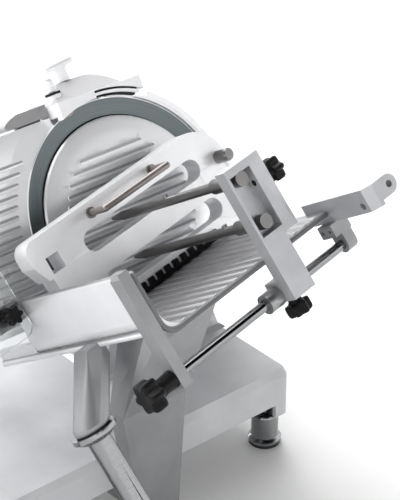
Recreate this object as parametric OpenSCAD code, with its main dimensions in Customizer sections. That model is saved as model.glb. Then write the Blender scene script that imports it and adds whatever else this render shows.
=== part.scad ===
// Gravity-feed food slicer. X runs along the carriage stroke, away from the operator.
// Y runs away from the product side and Z is up. The sizes below are counted from the base's middle.
// At the end the whole is moved so that the origin is on the table under its middle.
// Blade frame: x along the stroke, y up in the blade's plane, z out of the blade towards the product.
// Tray frame: the blade frame rolled about its z, so that x climbs along the tray floor.

/* [Layout] */
// Height of the blade's centre above the table
blade_h = 302; // [296:1:320]
// Blade's centre, right of the base's middle
blade_x = 171; // [160:1:180]
// Blade's centre, behind the base's middle
blade_y = 10; // [0:1:20]
// Lean of the blade from upright, degrees
blade_tilt = 33.3; // [32:0.1:35]
// Roll of the tray about the feed direction, degrees
tray_roll = 11.2; // [10:0.1:12.4]
// Running clearance of a shaft in a bore, on the radius
running_gap = 0.05; // [0.03:0.01:0.08]
// Clearance between neighbouring pieces
part_gap = 0.3; // [0.2:0.1:0.5]

/* [Base] */
// Length of the base along the stroke
base_len = 540; // [530:1:560]
// Depth of the base
base_dep = 380; // [370:1:400]
// Height of the base casting
base_h = 71; // [66:1:76]
// Height of the base's underside above the table
base_z = 48; // [46:1:54]
// Wall of the base casting
base_wall = 6; // [5:0.5:8]
// Radius of the base's upright corners
base_corner = 9; // [8:1:14]
// Bevel round the base's top
base_bevel = 10; // [6:1:12]
// Top of the column above the table
column_top = 190; // [184:1:196]
// Diameter of a foot
foot_d = 44; // [40:1:46]
// Thickness of a foot pad
pad_h = 5; // [3:1:8]
// Diameter of a foot stud
stud_d = 10; // [8:1:12]

/* [Carriage] */
// Diameter of the carriage rail
rail_d = 20; // [16:1:22]
// Outside diameter of the rail bush
bush_d = 34; // [30:1:36]
// Length of the rail bush
bush_len = 60; // [50:1:66]
// Height of the rail's axis
rail_z = 82; // [80:1:86]
// Middle of the carriage arm along the stroke
arm_x = 27; // [17:1:37]
// Thickness of the carriage arm
arm_t = 26; // [20:1:30]

/* [Tray] */
// Level of the tray floor below the blade's centre, in the tray frame
floor_u = 84; // [80:1:88]
// Thickness of the tray's sheet
tray_t = 8; // [6:0.5:9]
// Inner face of the end wall, in the tray frame
wall_f = -223; // [-226:1:-218]
// Top of the end wall, in the tray frame
wall_top = -3; // [-8:1:4]
// Inner end of the tray, out from the blade's plane
tray_in = 15; // [13:1:18]
// Outer end of the tray, out from the blade's plane
tray_out = 300; // [294:1:306]
// Free edge of the tray floor, in the tray frame
floor_end = 48; // [44:1:52]
// Radius inside the tray's corner
tray_corner = 25; // [20:1:30]
// Spacing of the floor's ribs
floor_rib_pitch = 17.5; // [15:0.5:20]

/* [Clamp and pusher] */
// Diameter of the guide rod
rod_d = 13; // [11:1:14]
// Level of the guide rod, in the tray frame
rod_u = -132; // [-134:1:-130]
// Diameter of a tine
tine_d = 12; // [10:1:14]
// Diameter of a tine's sleeve
sleeve_d = 18; // [16:1:20]
// Place of the tines along the tray floor's direction
tine_f = -46; // [-48:1:-44]
// Levels of the two tines, in the tray frame
tine_u = [10, -47];
// Width of a pusher slot
slot_w = 28; // [24:1:30]
// Thickness of the pusher plate
pusher_t = 30; // [22:1:32]
// Outer face of the pusher plate, out from the blade's plane
pusher_n = 75; // [72:1:80]
// Diameter of the pusher handle's rod
grip_d = 9; // [7:0.5:11]
// Diameter of the large star knob
star_d = 42; // [38:1:46]
// Diameter of the two small star knobs
small_star_d = 32; // [28:1:36]

/* [Blade] */
// Blade diameter
blade_d = 300; // [296:1:302]
// Diameter of the blade cover
cover_d = 256; // [246:1:258]
// Diameter of the blade shaft
shaft_d = 30; // [26:1:32]
// Bore of the blade shaft
shaft_bore = 12; // [11:0.5:14]
// Diameter of the cover's tie rod
tie_d = 10; // [8:0.5:10.5]
// Outside diameter of a blade bearing
bearing_d = 55; // [50:1:58]
// Diameter of the blade pulley
pulley_d = 90; // [80:1:92]
// Diameter of the motor pulley
motor_pulley_d = 40; // [34:1:42]
// Diameter of the motor
motor_d = 96; // [90:1:98]

/* [Gauge plate and controls] */
// Left end of the gauge plate, from the blade's centre
gauge_left = -430; // [-440:1:-410]
// Top of the gauge plate above the blade's centre
gauge_top = 148; // [146:1:152]
// Bottom of the gauge plate below the blade's centre
gauge_low = -88; // [-90:1:-84]
// Spacing of the ribs on the gauge plate and the cover
rib_pitch = 12.4; // [11.5:0.1:13.5]
// Diameter of the gauge slide rod
gauge_rod_d = 20; // [16:1:22]
// Diameter of the index knob
index_d = 50; // [44:1:50]
// Diameter of a push button
button_d = 16; // [14:1:18]
// Diameter of the sharpener post
post_d = 16; // [14:1:18]
// Diameter of a sharpening stone
stone_d = 22; // [18:1:23]

/* [Hidden] */
$fn = 48;
eps = 0.01;
origin_shift = [-14.5, 73.57, 0];
blade_r = blade_d / 2;
base_top = base_z + base_h;
base_x = base_len / 2;
base_y = base_dep / 2;
foot_inset = foot_d / 2;
rail_y = -base_y + 35;
stud_top = rail_z - rail_d / 2 - part_gap;
front_gap = 6;
arm_front = -base_y - front_gap - arm_t;
arm_w = 56;
rod_n = tray_out - 7;
rod_arm_t = 15;
slot_f = [-128, 76];
pusher_f = [-206, 122];
pusher_top = 54;
pusher_travel = 180;
comb_t = 5;
guide_s = -290;
guide_v = -60;
guide_n = [-125, -75];
link_y = 90;
index_z = 78;
cam_r = 20;
cam_throw = 3.85;
motor_s = 95;
motor_v = -15;
belt_n = [-112, -92];
house_n = [-205, -74];
house_lo = [-62, -83];
house_hi = [158, 62];
house_t = 4;
hood_top = blade_r + 36;
button_seat = blade_r + 28;
button_press = 4;
button_head_d = 14;
post_s = 4;
post_n = -46;
switch_y = -80;
switch_z = 88;
button_step = 30;
block_f = [-67, -32];
jaw_f = [-30, -10];
block_n = [tray_out + 3, tray_out + 21];
block_top = 28;
block_low = -142;
side_low = -floor_u - tray_t - 9;

// Frames

// Puts the origin on the table under the middle of the whole machine
module placed() {
    translate(origin_shift) children();
}

module blade_frame() {
    translate([blade_x, blade_y, blade_h]) rotate([90 - blade_tilt, 0, 0]) children();
}

module tray_frame() {
    blade_frame() rotate([0, 0, tray_roll]) children();
}

// Shared shapes

// Box between two corners
module block(lo, hi) {
    translate(lo) cube(hi - lo);
}

// Cylinder along x between two places
module bar_x(d, x0, x1) {
    translate([x0, 0, 0]) rotate([0, 90, 0]) cylinder(d = d, h = x1 - x0);
}

// Cylinder along y between two places
module bar_y(d, y0, y1) {
    translate([0, y0, 0]) rotate([-90, 0, 0]) cylinder(d = d, h = y1 - y0);
}

// Cylinder along z between two places
module bar_z(d, z0, z1) {
    translate([0, 0, z0]) cylinder(d = d, h = z1 - z0);
}

// Flat plate with round upright corners
module round_slab(x, y, z0, z1, r) {
    for (sx = [-1, 1], sy = [-1, 1]) {
        translate([sx * (x / 2 - r), sy * (y / 2 - r), z0]) cylinder(r = r, h = z1 - z0, $fn = 32);
    }
}

// Star knob on the z axis: stem from zero, head above it
module star_knob(d, stem_h, head_h) {
    lobes = 6;
    notch_d = d * 0.32;
    cylinder(d = d * 0.55, h = stem_h);
    translate([0, 0, stem_h]) difference() {
        union() {
            cylinder(d = d, h = head_h * 0.7);
            translate([0, 0, head_h * 0.7]) cylinder(d1 = d, d2 = d * 0.8, h = head_h * 0.3);
        }
        for (i = [0:lobes - 1]) {
            rotate(i * 360 / lobes) translate([d / 2 + notch_d * 0.12, 0, -1]) {
                cylinder(d = notch_d, h = head_h + 2);
            }
        }
    }
}

// Slot outline with round ends along x
module slot_2d(x0, x1, w) {
    translate([x0 + w / 2, -w / 2]) square([x1 - x0 - w, w]);
    translate([x0 + w / 2, 0]) circle(d = w);
    translate([x1 - w / 2, 0]) circle(d = w);
}

// Base

function foot_places() = [for (sx = [-1, 1], sy = [-1, 1]) [sx * (base_x - foot_inset), sy * (base_y - foot_inset)]];

module base_shell() {
    boss_d = 28;
    difference() {
        hull() {
            round_slab(base_len, base_dep, base_z, base_top - base_bevel, base_corner);
            round_slab(base_len - base_bevel, base_dep - base_bevel, base_top - eps, base_top, base_corner - base_bevel / 2);
        }
        block([-base_x + base_wall, -base_y + base_wall, base_z - 1],
              [base_x - base_wall, base_y - base_wall, base_top - base_bevel]);
    }
    for (p = foot_places()) {
        translate([p[0], p[1], base_z + 14]) cylinder(d = boss_d, h = base_h - 14 - base_bevel / 2);
    }
}

// Column under the blade, with a low foot all round it and a hollow for the blade's edge
module blade_column() {
    top = [blade_x - 84, blade_x + 70];
    low = [blade_x - 104, blade_x + 92];
    front = -base_y + 132;
    back = front + 82;
    foot = 6;
    color("gainsboro") difference() {
        union() {
            hull() {
                block([low[0], front, base_top], [low[1], back, base_top + 1]);
                block([top[0], front + 4, column_top - 1], [top[1], back - 4, column_top]);
            }
            hull() {
                block([low[0] - foot, front - foot, base_top], [low[1] + foot, back + foot, base_top + 1]);
                block([low[0], front, base_top + foot - 1], [low[1], back, base_top + foot]);
            }
        }
        blade_frame() bar_z(blade_d + 10, -23, 40);
    }
}

// Pedestal and boss that guide the gauge plate's rod
module gauge_guide() {
    boss_d = 44;
    rise = blade_h - base_top - 91;
    color("gainsboro") difference() {
        union() {
            translate([blade_x + guide_s, blade_y, base_top]) {
                block([-30, 16, 0], [30, 66, 8]);
                translate([-16, 0, 0]) rotate([90, 0, 90]) linear_extrude(32) {
                    polygon([[20, 4], [62, 4], [62, rise - 51], [56, rise - 20], [32, rise - 3], [20, rise - 15]]);
                }
            }
            blade_frame() translate([guide_s, guide_v, 0]) bar_z(boss_d, guide_n[0], guide_n[1]);
        }
        blade_frame() translate([guide_s, guide_v, 0]) {
            bar_z(gauge_rod_d + 2 * running_gap, guide_n[0] - 20, guide_n[1] + 20);
        }
    }
}

module base_casting() {
    rail_boss = rail_d + 14;
    arch_end = 23;
    arch_h = 20;
    color("gainsboro") difference() {
        union() {
            base_shell();
            for (sx = [-1, 1]) {
                translate([sx * (base_x - base_wall - 8), rail_y, rail_z]) bar_x(rail_boss, -8, 8);
            }
            translate([0, link_y, index_z]) bar_x(26, -base_x + base_wall - 1, -base_x + base_wall + 26);
        }
        for (p = foot_places()) {
            translate([p[0], p[1], base_z - 1]) cylinder(d = stud_d + 2 * running_gap, h = stud_top - base_z + 2);
        }
        block([-base_x + arch_end, -base_y - 1, base_z - 1], [base_x - arch_end, base_y + 1, base_z + arch_h]);
        translate([0, rail_y, rail_z]) {
            bar_x(rail_d + 2 * running_gap, -base_x + base_wall, base_x - base_wall);
        }
        block([blade_x + guide_s - 10, link_y - 16, base_top - base_bevel - 2],
              [blade_x + guide_s + 10, link_y + 30, base_top + 1]);
        translate([0, link_y, index_z]) bar_x(12 + 2 * running_gap, -base_x - 1, -base_x + base_wall + 30);
        for (side = [-1, 1]) {
            translate([0, switch_y + side * button_step / 2, switch_z]) {
                bar_x(button_d + 2, -base_x - 1, -base_x + base_wall + 1);
            }
        }
        translate([blade_x, base_y - base_wall - 1, rail_z]) bar_y(14 + 2 * running_gap, 0, base_wall + 2);
    }
}

module leveling_feet() {
    color("silver") for (p = foot_places()) {
        translate([p[0], p[1], 0]) {
            rotate_extrude() {
                polygon([[0, pad_h], [foot_d / 2, pad_h], [foot_d / 2, pad_h + 4], [foot_d / 2 - 4, pad_h + 8],
                         [foot_d / 2 - 4, base_z - 3], [foot_d / 2 - 6, base_z], [0, base_z]]);
            }
            translate([0, 0, base_z]) cylinder(d = stud_d, h = stud_top - base_z);
        }
    }
}

module foot_pads() {
    color("black") for (p = foot_places()) {
        translate([p[0], p[1], 0]) cylinder(d = foot_d - 2, h = pad_h);
    }
}

module cable_gland() {
    color("dimgray") translate([blade_x, base_y, rail_z]) difference() {
        union() {
            bar_y(14, -base_wall, 0);
            bar_y(22, 0, 9);
            translate([0, 9, 0]) rotate([-90, 0, 0]) cylinder(d1 = 18, d2 = 13, h = 10);
        }
        bar_y(8, -base_wall - 1, 20);
    }
}

module carriage_rail() {
    end = base_x - base_wall - part_gap;
    color("lightgray") translate([0, rail_y, rail_z]) bar_x(rail_d, -end, end);
}

// Blade and its drive

module ring_sector(r0, r1, n0, n1, from, to) {
    rotate([0, 0, from]) rotate_extrude(angle = to - from, $fn = 96) {
        translate([r0, n0]) square([r1 - r0, n1 - n0]);
    }
}

// Rounded shoe of the guard above the gauge plate's corner, with its web
module guard_shoe() {
    low = gauge_top + 2.5;
    block([-100, 90, -33], [-62, low + 3, -27]);
    translate([0, 0, -32]) linear_extrude(25) {
        translate([-104, low]) square([44, 16]);
        translate([-112, low]) square([20, 8]);
        translate([-104, low + 8]) circle(r = 8);
    }
}

module blade_carrier() {
    ring_in = blade_r + 4;
    ring_out = blade_r + 12;
    disc_r = blade_r - 15;
    boss_r = bearing_d / 2 + 12;
    ring_from = -95;
    ring_to = 58;
    lug_d = post_d + 12;
    color("whitesmoke") difference() {
        blade_frame() difference() {
            union() {
                bar_z(2 * disc_r, -34, -23);
                bar_z(2 * boss_r, house_n[1], -30);
                rotate([0, 0, ring_from]) rotate_extrude(angle = ring_to - ring_from, $fn = 96) {
                    polygon([[disc_r - 8, -32], [ring_out, -32], [ring_out, 5], [ring_in, 5], [ring_in, -25],
                             [disc_r - 8, -25]]);
                }
                block([-70, -165, -68], [54, -50, -28]);
                guard_shoe();
                translate([post_s, 0, post_n]) bar_y(lug_d, blade_r - 58, blade_r - 22);
            }
            bar_z(bearing_d + 2 * running_gap, -68, -20);
            bar_z(shaft_d + 8, -80, -60);
            translate([post_s, 0, post_n]) bar_y(post_d + 2 * running_gap, blade_r - 50, blade_r - 10);
        }
        block([-400, -400, -10], [600, 400, column_top]);
    }
}

module bearing(n0, n1) {
    difference() {
        bar_z(bearing_d, n0, n1);
        bar_z(shaft_d + 2 * running_gap, n0 - 1, n1 + 1);
    }
}

module blade_bearings() {
    color("silver") blade_frame() {
        bearing(-67, -54);
        bearing(-42, -29);
    }
}

module house_outline(inset) {
    r = 22 - inset;
    lo = house_lo + [inset, inset];
    hi = house_hi - [inset, inset];
    translate([lo[0] + r, lo[1]]) square([hi[0] - lo[0] - 2 * r, hi[1] - lo[1]]);
    translate([lo[0], lo[1] + r]) square([hi[0] - lo[0], hi[1] - lo[1] - 2 * r]);
    for (x = [lo[0] + r, hi[0] - r], y = [lo[1] + r, hi[1] - r]) {
        translate([x, y]) circle(r = r);
    }
}

function cover_screw_places() = [for (x = [house_lo[0] + 14, house_hi[0] - 14], y = [house_lo[1] + 14, house_hi[1] - 14]) [x, y]];

function standoff_places() = [for (sx = [-1, 1], sy = [-1, 1]) [motor_s + sx * 12, motor_v + sy * 41]];

module rear_housing() {
    color("gainsboro") blade_frame() {
        difference() {
            translate([0, 0, house_n[0] + house_t]) {
                linear_extrude(house_n[1] - house_n[0] - house_t) house_outline(0);
            }
            translate([0, 0, house_n[0]]) {
                linear_extrude(house_n[1] - house_n[0] - house_t) house_outline(house_t);
            }
            bar_z(shaft_d + 6, house_n[1] - house_t - 1, house_n[1] + 1);
        }
        for (p = standoff_places()) {
            translate(p) bar_z(8, -122, house_n[1] - house_t + eps);
        }
    }
}

module rear_cover() {
    slots = 9;
    slot_step = 9;
    color("gainsboro") blade_frame() difference() {
        translate([0, 0, house_n[0]]) linear_extrude(house_t) house_outline(0);
        for (i = [0:slots - 1]) {
            translate([motor_s, motor_v + (i - (slots - 1) / 2) * slot_step, house_n[0] - 1]) {
                linear_extrude(house_t + 2) slot_2d(-34, 34, 4.5);
            }
        }
        bar_z(tie_d + 2 * running_gap, house_n[0] - 1, house_n[0] + house_t + 1);
        for (p = cover_screw_places()) {
            translate(p) bar_z(4.4, house_n[0] - 1, house_n[0] + house_t + 1);
        }
    }
}

module cover_screws() {
    color("silver") blade_frame() for (p = cover_screw_places()) {
        translate(p) {
            bar_z(8.5, house_n[0] - 3.5, house_n[0]);
            bar_z(4.2, house_n[0], house_n[0] + house_t);
        }
    }
}

module motor() {
    back = house_n[0] + house_t + 6;
    color("dimgray") blade_frame() translate([motor_s, motor_v, 0]) difference() {
        union() {
            bar_z(motor_d, -126, -122);
            bar_z(motor_d - 8, back + 8, -126);
            bar_z(motor_d - 24, back, back + 8);
            for (i = [0:15]) {
                rotate(i * 22.5) block([motor_d / 2 - 5, -1.5, back + 14], [motor_d / 2 - 1, 1.5, -126]);
            }
        }
        bar_z(16, -160, -121);
    }
}

// Loop round the two pulleys
module belt_outline(grow) {
    hull() {
        circle(d = pulley_d + grow);
        translate([motor_s, motor_v]) circle(d = motor_pulley_d + grow);
    }
}

module drive_belt() {
    belt_t = 3;
    color("black") blade_frame() translate([0, 0, belt_n[0] + 3]) {
        linear_extrude(belt_n[1] - belt_n[0] - 6) difference() {
            belt_outline(2 * part_gap + 2 * belt_t);
            belt_outline(2 * part_gap);
        }
    }
}

module blade() {
    r = blade_r;
    land = cover_d / 2;
    rim = r - land;
    color("slategray") blade_frame() rotate_extrude($fn = 128) {
        polygon([[shaft_d / 2 + running_gap, -12], [land - 6, -12], [land + 0.45 * rim, -8], [r, -1], [r, 0],
                 [r - 0.18 * rim, -0.6], [land, -4], [land - 3, -8], [shaft_d / 2 + running_gap, -8]]);
    }
}

module blade_shaft() {
    color("silver") blade_frame() difference() {
        union() {
            bar_z(shaft_d, -120, -8);
            bar_z(84, -20, -12);
        }
        bar_z(shaft_bore, -130, 0);
    }
}

module pulley(d, bore, n0, n1) {
    rim = 3;
    color("darkgray") rotate_extrude() {
        polygon([[bore / 2, n0], [d / 2 + rim, n0], [d / 2 + rim, n0 + 2], [d / 2, n0 + 2.5], [d / 2, n1 - 2.5],
                 [d / 2 + rim, n1 - 2], [d / 2 + rim, n1], [bore / 2, n1]]);
    }
}

module blade_pulley() {
    blade_frame() pulley(pulley_d, shaft_d + 2 * running_gap, belt_n[0], belt_n[1]);
}

module motor_pulley() {
    motor_shaft_d = 14;
    blade_frame() translate([motor_s, motor_v, 0]) union() {
        pulley(motor_pulley_d, motor_shaft_d - 2, belt_n[0], belt_n[1]);
        color("silver") bar_z(motor_shaft_d, -158, belt_n[1] + 2);
    }
}

module blade_cover() {
    r = cover_d / 2 - 2;
    rib_w = 7;
    rib_top = 7;
    rib_rows = 6;
    color("whitesmoke") blade_frame() difference() {
        union() {
            rotate_extrude($fn = 128) {
                polygon([[0, -3.5], [r, -3.5], [r, -1], [r - 2, 1], [r - 20, 3.5], [r - 60, 5], [0, 5.5]]);
            }
            for (i = [-rib_rows - 1:rib_rows]) {
                v = (i + 0.5) * rib_pitch;
                half = sqrt(pow(r - 31, 2) - v * v);
                translate([0, v, 0]) linear_extrude(rib_top) slot_2d(-half, half, rib_w);
            }
        }
        bar_z(tie_d + 2 * running_gap, -10, 1);
    }
}

module cover_tie_rod() {
    color("silver") blade_frame() bar_z(tie_d, house_n[0] - 20, 1 - part_gap);
}

module cover_knob() {
    color("black") blade_frame() translate([0, 0, house_n[0] - part_gap]) mirror([0, 0, 1]) difference() {
        star_knob(38, 8, 16);
        bar_z(tie_d + 2 * running_gap, -1, 20);
    }
}

// Gauge plate and its index

module gauge_plate() {
    rib_d = 8;
    face = -4;
    back = -10;
    rim_t = 10;
    clear_r = blade_r + 4;
    rib_top = gauge_top - 40.4;
    last = floor((rib_top - gauge_low - 8) / rib_pitch);
    right = -62;
    color("gainsboro") blade_frame() difference() {
        union() {
            block([gauge_left, gauge_low, back], [right, gauge_top, face]);
            block([gauge_left, gauge_top - 6, back - rim_t], [-122, gauge_top, face]);
            block([gauge_left, gauge_low, back - rim_t], [gauge_left + 6, gauge_top, face]);
            block([gauge_left, gauge_low, back - 8], [-200, gauge_low + 6, face]);
            for (i = [0:last]) {
                v = rib_top - i * rib_pitch;
                end = -sqrt(pow(clear_r + 11, 2) - v * v);
                translate([0, v, face - 1]) {
                    bar_x(rib_d, gauge_left + 20, end);
                    translate([end, 0, 0]) sphere(d = rib_d);
                    translate([gauge_left + 20, 0, 0]) sphere(d = rib_d);
                }
            }
            translate([guide_s, guide_v, 0]) bar_z(50, back - 6, back + 1);
        }
        bar_z(2 * clear_r, -60, 20);
        translate([guide_s, guide_v, 0]) bar_z(gauge_rod_d + 2 * running_gap, back - 10, back + 2);
    }
}

module gauge_slide_rod() {
    color("silver") blade_frame() translate([guide_s, guide_v, 0]) bar_z(gauge_rod_d, guide_n[0] - 12, -8 - part_gap);
}

module gauge_link() {
    color("gray") difference() {
        union() {
            blade_frame() translate([guide_s, guide_v, 0]) bar_z(gauge_rod_d + 12, guide_n[0] - 12, guide_n[0] - 2);
            block([blade_x + guide_s - 5, link_y - 8, index_z + cam_r + cam_throw + 1 + 3.2],
                  [blade_x + guide_s + 5, link_y + 8, base_top + 58]);
        }
        blade_frame() translate([guide_s, guide_v, 0]) {
            bar_z(gauge_rod_d + 2 * running_gap, guide_n[0] - 40, guide_n[0] + 40);
            bar_z(70, guide_n[0] - 2, guide_n[0] + 60);
        }
    }
}

module index_knob() {
    grips = 24;
    color("black") translate([-base_x - 2, link_y, index_z]) rotate([0, -90, 0]) difference() {
        union() {
            cylinder(d = index_d, h = 8);
            translate([0, 0, 8]) cylinder(d1 = index_d - 6, d2 = index_d - 12, h = 20);
            translate([-2, -index_d / 2 + 7, 26]) cube([4, index_d - 14, 6]);
        }
        for (i = [0:grips - 1]) {
            rotate(i * 360 / grips) translate([index_d / 2 + 0.6, 0, -1]) cylinder(d = 3, h = 8, $fn = 16);
        }
        translate([0, 0, -1]) cylinder(d = 12 + 2 * running_gap, h = 18);
    }
}

module index_shaft() {
    color("silver") translate([0, link_y, index_z]) bar_x(12, -base_x - 2 - 16, blade_x + guide_s + 10);
}

module index_cam() {
    color("gray") translate([blade_x + guide_s, link_y, index_z]) difference() {
        translate([0, 0, cam_throw]) bar_x(2 * cam_r, -6, 6);
        bar_x(12 + 2 * running_gap, -7, 7);
    }
}

module switch_plate() {
    plate_t = 3;
    color("darkgray") translate([-base_x, switch_y, switch_z]) difference() {
        rotate([0, -90, 0]) linear_extrude(plate_t) rotate(90) slot_2d(-40, 40, 38);
        for (side = [-1, 1]) {
            translate([0, side * button_step / 2, 0]) bar_x(button_d + 2 * part_gap, -plate_t - 1, 1);
        }
    }
}

module push_button(side) {
    translate([-base_x, switch_y + side * button_step / 2, switch_z]) {
        bar_x(button_d, -8, 3);
        translate([-8, 0, 0]) rotate([0, -90, 0]) cylinder(d1 = button_d, d2 = button_d - 3, h = 2);
    }
}

module start_button() {
    color("seagreen") push_button(-1);
}

module stop_button() {
    color("firebrick") push_button(1);
}

// Sharpener

module sharpener_post() {
    color("silver") blade_frame() translate([post_s, 0, post_n]) bar_y(post_d, blade_r - 50 + part_gap, blade_r + 22);
}

// Outline of the hood's dome seen along the blade's axis
module hood_front_2d() {
    low = blade_r - 12;
    dome_s = 14;
    dome_r = 28;
    polygon([[-58, low], [-58, blade_r + 12], [-46, blade_r + 22], [-24, hood_top], [dome_s, hood_top], [dome_s, low]]);
    translate([dome_s, low]) square([dome_r, 20]);
    translate([dome_s, hood_top - dome_r]) circle(r = dome_r);
    translate([-20, blade_r - 20]) square([44, 20]);
}

// Outline of the hood seen along the stroke, as [up, out from the blade]
module hood_side_2d() {
    low = blade_r - 12;
    rear_low = blade_r - 19;
    polygon([[low, 20], [blade_r + 11.5, 20], [hood_top + 1, -22], [hood_top + 1, -48], [blade_r + 22, -66],
             [rear_low, -66], [rear_low, -39], [low, -39]]);
}

function stone_place() = [-40, blade_r + 2];

function truing_place() = [post_s - 14, blade_r - 8];

module sharpener_hood() {
    mouth_r = blade_r + 6;
    arm_r = mouth_r + 4;
    color("whitesmoke") blade_frame() {
        difference() {
            union() {
                intersection() {
                    translate([0, 0, -80]) linear_extrude(120) hood_front_2d();
                    translate([-80, 0, 0]) rotate([90, 0, 90]) linear_extrude(170) hood_side_2d();
                }
                block([20, blade_r - 12, 4], [74, blade_r + 10.5, 19.5]);
            }
            bar_z(2 * mouth_r, -39, 7.5);
            bar_z(2 * (blade_r + 1), 7, 30);
            translate(stone_place()) bar_z(stone_d + 2, 0, 7.5);
            translate([0, 0, 7]) linear_extrude(30) intersection() {
                circle(r = arm_r, $fn = 96);
                translate([0, blade_r - 50]) square([100, 100]);
            }
            translate([post_s, 0, post_n]) bar_y(post_d + 2 * running_gap, blade_r - 50, blade_r + 23);
            translate([-47, 0, 0]) {
                bar_y(9 + 2 * part_gap, blade_r, blade_r + 40);
                bar_y(button_head_d + 2 * part_gap, button_seat - button_press - part_gap, blade_r + 40);
            }
            translate([-8, 0, -26]) bar_y(8 + 2 * running_gap, blade_r + 22, blade_r + 50);
        }
        ring_sector(blade_r + 3.5, mouth_r + 1, 8, 19, 65, 93);
        translate(stone_place()) bar_z(6, 1.5, 10);
        translate(truing_place()) bar_z(6, -42, -13);
    }
}

module sharpener_seal() {
    mouth_r = blade_r + 6;
    color("black") blade_frame() ring_sector(mouth_r + 1, mouth_r + 4, 8, 17, 66, 88);
}

module wing_knob() {
    foot = hood_top + part_gap;
    bar_half = 17;
    bar_v = hood_top + 22;
    color("whitesmoke") blade_frame() translate([-8, 0, -26]) {
        bar_y(8, blade_r + 23, foot + 1);
        translate([0, foot, 0]) rotate([-90, 0, 0]) cylinder(d1 = 19, d2 = 9, h = bar_v - foot);
        translate([0, bar_v, 0]) {
            bar_x(11, -bar_half, bar_half);
            translate([-bar_half, 0, 0]) sphere(d = 11);
            translate([bar_half, 0, 0]) sphere(d = 11);
        }
    }
}

module sharpener_button() {
    color("gray") blade_frame() translate([-47, 0, 0]) {
        bar_y(9, button_seat - 10, button_seat);
        bar_y(button_head_d, button_seat, button_seat + 9);
        translate([0, button_seat + 9, 0]) rotate([-90, 0, 0]) cylinder(d1 = button_head_d, d2 = 10, h = 3);
    }
}

module stone(n0, n1) {
    difference() {
        bar_z(stone_d, n0, n1);
        bar_z(6 + 2 * running_gap, n0 - 1, n1 + 1);
    }
}

module grinding_stone() {
    color("rosybrown") blade_frame() translate(stone_place()) stone(1.5, 6.5);
}

module truing_stone() {
    color("tan") blade_frame() translate(truing_place()) stone(-19, -13);
}

// Tray and carriage

module tray_profile() {
    low = -floor_u - tray_t;
    bend = tray_corner;
    corner = [wall_f + bend, -floor_u + bend];
    rib_r = 4.6;
    rib_rise = 1.8;
    ribs = floor((floor_end - corner[0] - 6) / floor_rib_pitch);
    translate([wall_f - tray_t, corner[1]]) square([tray_t, wall_top - corner[1] - tray_t / 2]);
    translate([wall_f - tray_t / 2, wall_top - tray_t / 2]) circle(d = tray_t);
    translate([corner[0], low]) square([floor_end - corner[0], tray_t]);
    difference() {
        translate(corner) circle(r = bend + tray_t);
        translate(corner) circle(r = bend);
        translate([corner[0], low - 1]) square([200, 200]);
        translate([wall_f - tray_t - 1, corner[1]]) square([200, 200]);
    }
    for (i = [0:ribs]) {
        translate([corner[0] + i * floor_rib_pitch, -floor_u + rib_rise - rib_r]) circle(r = rib_r);
    }
}

// Low part of the end wall that runs on under the gauge plate
module wall_tail() {
    tail_in = -75;
    tail_top = -60;
    block([wall_f - tray_t, -floor_u + 2, tail_in], [wall_f, tail_top, tray_in + 2]);
}

module tray() {
    bead_d = 9;
    color("whitesmoke") tray_frame() union() {
        translate([0, 0, tray_in]) linear_extrude(tray_out - tray_in) tray_profile();
        wall_tail();
        translate([wall_f - tray_t + 1, -floor_u + 6, 0]) bar_z(bead_d, -75, tray_out - 20);
    }
}

// Slice of the carriage arm at a given height
module arm_slice(x0, x1, z) {
    block([x0, arm_front, z - 1], [x1, arm_front + arm_t, z]);
}

module carriage_arm() {
    foot_lo = base_z - 22;
    foot_hi = base_z - front_gap;
    x0 = arm_x - arm_w / 2;
    x1 = arm_x + arm_w / 2;
    saddle_d = bush_d + 12;
    pad_lo = -floor_u - tray_t - 20;
    color("gainsboro") difference() {
        union() {
            hull() {
                tray_frame() block([-205, pad_lo, 155], [-95, -floor_u - tray_t, 215]);
                arm_slice(x0 - 30, x1 + 12, base_top + 73);
            }
            hull() {
                arm_slice(x0 - 30, x1 + 12, base_top + 73);
                arm_slice(x0, x1, foot_lo + 1);
            }
            block([x0, arm_front, foot_lo], [x1, rail_y + saddle_d / 2, foot_hi]);
            block([x0, rail_y - saddle_d / 2, foot_lo], [x1, rail_y + saddle_d / 2, rail_z]);
            translate([arm_x, rail_y, rail_z]) bar_x(saddle_d, -arm_w / 2, arm_w / 2);
        }
        translate([arm_x, rail_y, rail_z]) bar_x(bush_d + 2 * running_gap, -arm_w, arm_w);
    }
}

module slide_bush() {
    color("darkgoldenrod") translate([arm_x, rail_y, rail_z]) difference() {
        bar_x(bush_d, -bush_len / 2, bush_len / 2);
        bar_x(rail_d + 2 * running_gap, -bush_len, bush_len);
    }
}

grip_f = -290;
grip_n = 150;
grip_top = -158;

module handle_bracket() {
    color("gainsboro") tray_frame() {
        hull() {
            block([wall_f - tray_t - 20, -floor_u - 2, 132], [wall_f - tray_t - 5, -floor_u + 14, 168]);
            translate([grip_f, 0, grip_n]) bar_y(40, grip_top, grip_top + 6);
        }
        block([wall_f - tray_t - 6, -floor_u + 12, 134], [wall_f - tray_t, -floor_u + 40, 166]);
        block([wall_f - tray_t - 20, -floor_u + 12, 134], [wall_f - tray_t - 5, -floor_u + 14, 166]);
    }
}

module push_grip() {
    color("silver") tray_frame() translate([grip_f, 0, grip_n]) {
        bar_y(58, grip_top - 6, grip_top);
        translate([0, grip_top - 12, 0]) rotate([-90, 0, 0]) cylinder(d1 = 40, d2 = 58, h = 6);
        bar_y(30, grip_top - 108, grip_top - 12);
        translate([0, grip_top - 108, 0]) sphere(d = 30);
    }
}

guard_n = [44, 49];

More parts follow.
